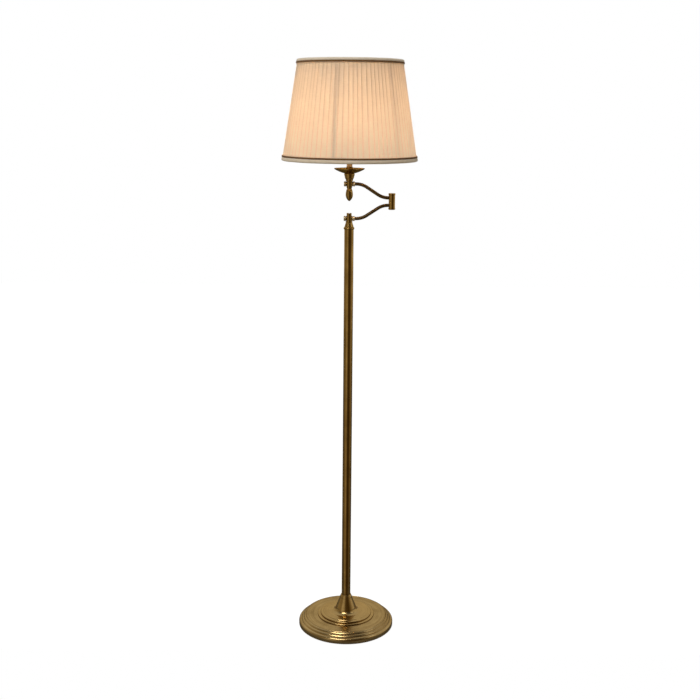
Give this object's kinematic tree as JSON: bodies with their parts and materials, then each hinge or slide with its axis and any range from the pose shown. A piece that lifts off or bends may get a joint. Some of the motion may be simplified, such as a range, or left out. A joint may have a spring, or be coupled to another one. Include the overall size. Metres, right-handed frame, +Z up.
{
  "type": "bridge floor lamp",
  "caption": "Floor lamp with a weighted round base, a brass pole, a folding swing arm and a pleated fabric drum shade over a drip dish.",
  "frame": {"origin": "on the floor under the axis of the pole", "axes": "+Z up along the pole, +X towards the folded elbow, -Y towards the front"},
  "size_m": [0.3603, 0.3604, 1.5912],
  "materials": {
    "felt": "matt green-black felt",
    "iron": "rough cast",
    "antique_brass": "satin, aged, lacquered",
    "zinc_steel": "zinc plated",
    "washer_fibre": "dark fibre",
    "gland_black": "matt",
    "lead_sheath": "satin",
    "porcelain": "glazed",
    "contact_metal": "nickelled",
    "bulb_opal": "opal",
    "frame_wire": "cream paint",
    "lining_cloth": "pale, thin",
    "shade_cloth": "pleated, matt",
    "braid_cream": "woven braid",
    "braid_brown": "corded stripe"
  },
  "bodies": {
    "stand": {"felt_pad": "felt", "base_weight": "iron", "base_cover": "antique_brass", "cord_gland": "gland_black", "base_flare": "antique_brass", "base_washer": "zinc_steel", "base_nut": "zinc_steel", "base_stud": "zinc_steel", "foot_collar": "antique_brass", "pole_foot_plug": "zinc_steel", "pole_lower": "antique_brass", "pole_coupler": "antique_brass", "pole_upper": "antique_brass", "pole_cap": "antique_brass", "pivot_stem": "zinc_steel", "pivot_washers": "washer_fibre", "pivot_nut": "antique_brass", "pole_lead": "lead_sheath"},
    "lower_arm": {"lower_block": "antique_brass", "lower_end_cap": "antique_brass", "lower_arm_collar": "antique_brass", "lower_arm_tube": "antique_brass", "lower_arm_lead": "lead_sheath", "lower_knuckle": "antique_brass", "elbow_pin": "zinc_steel", "elbow_bottom_cap": "antique_brass", "elbow_top_cap": "antique_brass", "elbow_washers": "washer_fibre"},
    "upper_arm": {"upper_knuckle": "antique_brass", "upper_arm_tube": "antique_brass", "upper_arm_lead": "lead_sheath", "upper_arm_collar": "antique_brass", "upper_end_cap": "antique_brass", "upper_block": "antique_brass"},
    "head": {"finial": "antique_brass", "head_stem": "zinc_steel", "head_washers": "washer_fibre", "vase": "antique_brass", "drip_dish": "antique_brass", "neck_cup": "antique_brass", "neck_tube": "antique_brass", "head_lead": "lead_sheath", "holder_cap": "antique_brass", "holder_shell": "antique_brass", "holder_core": "porcelain", "contact_sleeve": "contact_metal", "shade_nuts": "antique_brass", "bulb_cap": "contact_metal", "bulb_glass": "bulb_opal", "fitter_ring": "frame_wire", "shade_bottom_ring": "frame_wire", "shade_top_ring": "frame_wire", "shade_struts": "frame_wire", "shade_spokes": "frame_wire", "shade_lining": "lining_cloth", "shade_cover": "shade_cloth", "bottom_braid": "braid_cream", "bottom_stripe": "braid_brown", "top_braid": "braid_cream", "top_stripe": "braid_brown"}
  },
  "joints": [
    {"name": "pole_swivel", "type": "hinge", "parent": "stand", "child": "lower_arm", "pos_m": [0, 0, 1.1796], "axis": [0, 0, 1], "range_deg": [-170, 170]},
    {"name": "elbow_swivel", "type": "hinge", "parent": "lower_arm", "child": "upper_arm", "pos_m": [0.114, 0, 1.2256], "axis": [0, 0, 1], "range_deg": [-170, 170]},
    {"name": "head_swivel", "type": "hinge", "parent": "upper_arm", "child": "head", "pos_m": [0, 0, 1.2716], "axis": [0, 0, 1], "range_deg": [-170, 170]}
  ]
}
